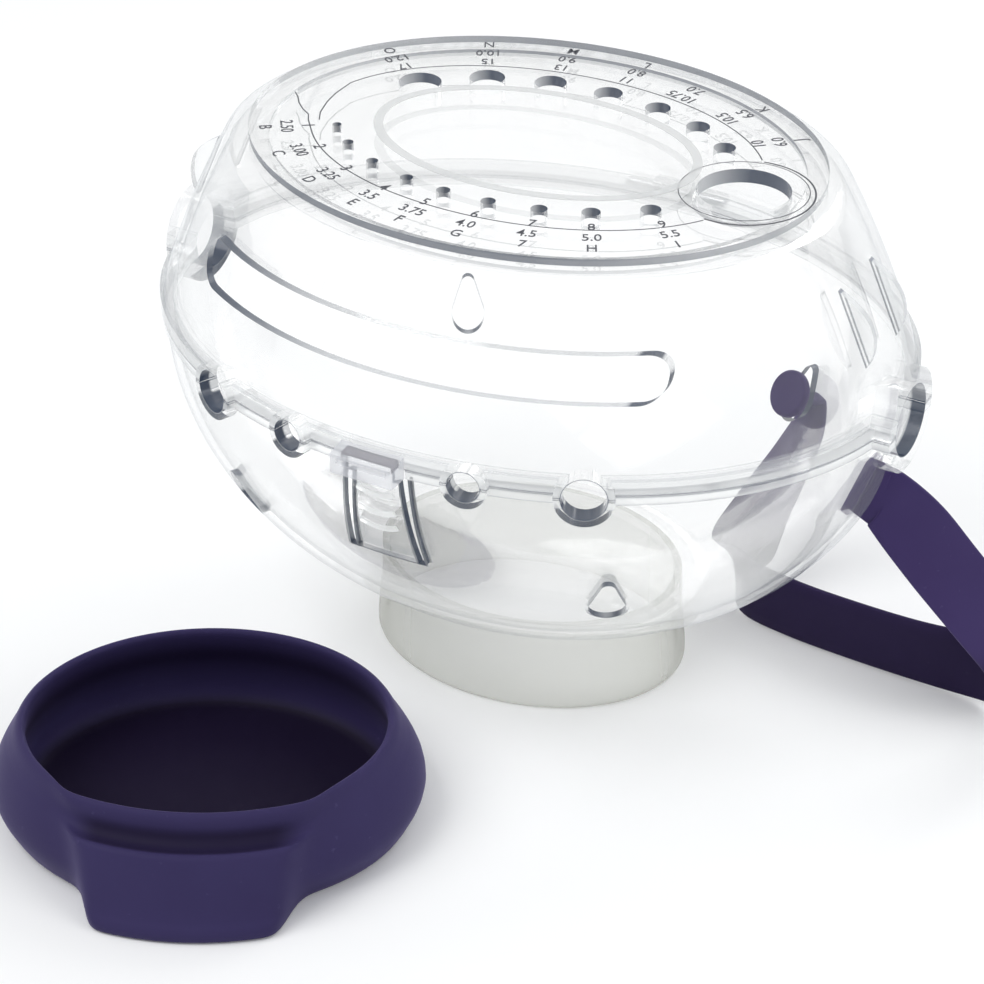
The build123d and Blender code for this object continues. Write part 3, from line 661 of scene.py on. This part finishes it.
for near, far in zip(rings, rings[1:]):
    for k in range(around):
        after = (k + 1) % around
        strap.faces.new([near[k], near[after], far[after], far[k]])
strap.faces.new(rings[0][::-1])
strap.faces.new(rings[-1])


def soft_end(middle, axis, across, half_sizes, round_end):
    """Rounded bar or, with round_end, a rounded button, added to the strap where it ends."""
    side = axis.cross(across).normalized()
    turn = Matrix((across, side, axis)).transposed().to_4x4()
    place = Matrix.Translation(middle) @ turn @ Matrix.Diagonal((*half_sizes, 1))
    if round_end:
        made = bmesh.ops.create_cone(strap, cap_ends=True, segments=32, radius1=1, radius2=1, depth=2,
                                     matrix=place)
    else:
        made = bmesh.ops.create_cube(strap, size=2, matrix=place)
    edges = {edge for vert in made["verts"] for edge in vert.link_edges}
    sharp = [edge for edge in edges if edge.calc_face_angle(0) > 0.5]
    bmesh.ops.bevel(strap, geom=sharp, offset=min(half_sizes) * 0.6, segments=4, profile=0.5,
                    affect="EDGES")


bar_out, bar_rise = Vector((0.937, 0, -0.349)), Vector((0.349, 0, 0.937))
bar_sizes, button_sizes = (0.0095, 0.0035, 0.0015), (0.007, 0.007, 0.0015)
bar_place, button_place = Vector((0.0997, 0.0025, 0.0798)), Vector((0.0539, 0.0584, 0.0664))
soft_end(bar_place, bar_out, bar_rise, bar_sizes, round_end=False)
soft_end(button_place, Vector(drop_outward), Vector((-0.87, 0.49, 0)), button_sizes, round_end=True)
bmesh.ops.recalc_face_normals(strap, faces=strap.faces)
strap_loop = as_object("strap_loop", strap, smooth=True)


def strap_shade(place):
    """The lower leg turns its flat side away from the light."""
    return (1 - place.part("Z").step(0.016, 0.034)) * 0.75


dress(strap_loop, silicone("purple_silicone", (0.034, 0.020, 0.086, 1), (0.052, 0.036, 0.125, 1), 1500.0,
                           shade=strap_shade))
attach(strap_loop, "bowl")
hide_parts("strap_band")


# Tray: the same silicone, a shallow oval bowl with a thick soft lip. Its front swells into a
# lifting tab with a scoop over it for a finger.
tray_place, tray_turn = Vector((-0.0368, -0.1153, 0)), radians(25.6)
tray_ratio = 0.835
tray_side = [
    # half-length and height of the side, then how far out and how high the tab is at that row
    (0.0300, 0.0000, 0.0250, 0.0000), (0.0535, 0.0000, 0.0585, 0.0000), (0.0551, 0.0007, 0.0593, 0.0006),
    (0.0560, 0.0022, 0.0594, 0.0018), (0.0570, 0.0042, 0.0592, 0.0034), (0.0578, 0.0058, 0.0582, 0.0043),
    (0.0584, 0.0075, 0.0573, 0.0056), (0.0588, 0.0095, 0.0562, 0.0082), (0.0587, 0.0115, 0.0551, 0.0110),
    (0.0582, 0.0140, 0.0537, 0.0145), (0.0573, 0.0165, 0.0523, 0.0180), (0.0564, 0.0185, 0.0513, 0.0204),
    (0.0557, 0.0199, 0.0507, 0.0212), (0.0551, 0.0210, 0.0499, 0.0215), (0.0546, 0.0219, 0.0484, 0.0211),
    (0.0540, 0.0228, 0.0466, 0.0208), (0.0536, 0.0236, 0.0450, 0.0213), (0.0531, 0.0245, 0.0440, 0.0226),
    (0.0526, 0.0254, 0.0436, 0.0241), (0.0522, 0.0263, 0.0434, 0.0257), (0.0517, 0.0273, 0.0432, 0.0270),
    (0.0512, 0.0281, 0.0428, 0.0280), (0.0506, 0.0287, 0.0423, 0.0287), (0.0499, 0.0290, 0.0417, 0.0290),
    (0.0492, 0.0287, 0.0411, 0.0287), (0.0488, 0.0278, 0.0408, 0.0278), (0.0488, 0.0266, 0.0408, 0.0266),
    (0.0495, 0.0220, 0.0413, 0.0220), (0.0512, 0.0160, 0.0427, 0.0160), (0.0524, 0.0100, 0.0437, 0.0100),
    (0.0520, 0.0062, 0.0434, 0.0062), (0.0503, 0.0039, 0.0420, 0.0039), (0.0470, 0.0030, 0.0392, 0.0030),
    (0.0350, 0.0030, 0.0292, 0.0030), (0.0180, 0.0030, 0.0150, 0.0030),
]
tab_half_width, tab_spread = 0.0268, 0.0042
tab_edge_height, tab_squareness = 0.0215, 22
hollow_half_length = 0.0530
tab_bow = 0.0036 / 0.0228 ** 2
tab_start, tab_end = 52, 70
spoke_angles = [-90 + side * (90 - turn) for side in (-1, 1) for turn in
                [tab_start + (tab_end - tab_start) * i / 60 for i in range(61)]]
spoke_angles += [-90 + turn for turn in range(-19, 20, 2)]
spoke_angles += [-90 + side * turn for side in (-1, 1) for turn in range(40, 179, 2)] + [90]
spokes = sorted({round(angle, 3) for angle in spoke_angles})
tray = bmesh.new()
rows = []
turn = Matrix.Rotation(tray_turn, 4, "Z")
for half, height, reach, tab_height in tray_side:
    row = []
    for angle in spokes:
        x, y, z = half * cos(radians(angle)), half * tray_ratio * sin(radians(angle)), height
        if y < 0:
            width = tab_half_width + tab_spread * (height / tab_edge_height) ** 2
            share = 1 / (1 + (abs(x) / width) ** tab_squareness)
            y += (-reach + tab_bow * x * x - y) * share
            z += (tab_height - z) * share
        row.append(tray.verts.new(turn @ Vector((x, y, z)) + tray_place))
    rows.append(row)
for low, high in zip(rows, rows[1:]):
    for k in range(len(spokes)):
        after = (k + 1) % len(spokes)
        tray.faces.new([low[k], low[after], high[after], high[k]])
tray.faces.new(rows[0][::-1])
tray.faces.new(rows[-1])
bmesh.ops.recalc_face_normals(tray, faces=tray.faces)
soft_tray = as_object("soft_tray", tray, smooth=True)


def tray_shade(place):
    """How deep a point lies in the tray's hollow, or in the scoop over its tab. Both stay dark."""
    from_middle = place.vector("SUBTRACT", tray_place)
    x = from_middle.dot((cos(tray_turn), sin(tray_turn), 0))
    y = from_middle.dot((-sin(tray_turn), cos(tray_turn), 0))
    z = place.part("Z")
    along, over = x / hollow_half_length, y / (hollow_half_length * tray_ratio)
    inside = 1 - ((along * along + over * over) ** 0.5).step(0.93, 1.0)
    hollow = inside * (1 - z.step(0.018, 0.029)) * z.step(0.001, 0.0025)
    scoop = (y - x * x * tab_bow).band(-0.0490, -0.0422, 0.0008) * z.band(0.0195, 0.0244, 0.0018)
    return hollow.maths("MAXIMUM", scoop * (1 - x.maths("ABSOLUTE").step(0.0225, 0.0310)) * 0.8)


dress(soft_tray, silicone("indigo_silicone", (0.026, 0.019, 0.072, 1), (0.038, 0.030, 0.098, 1), 1500.0,
                          shade=tray_shade))
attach(soft_tray, "tray")
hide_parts("base_tray")
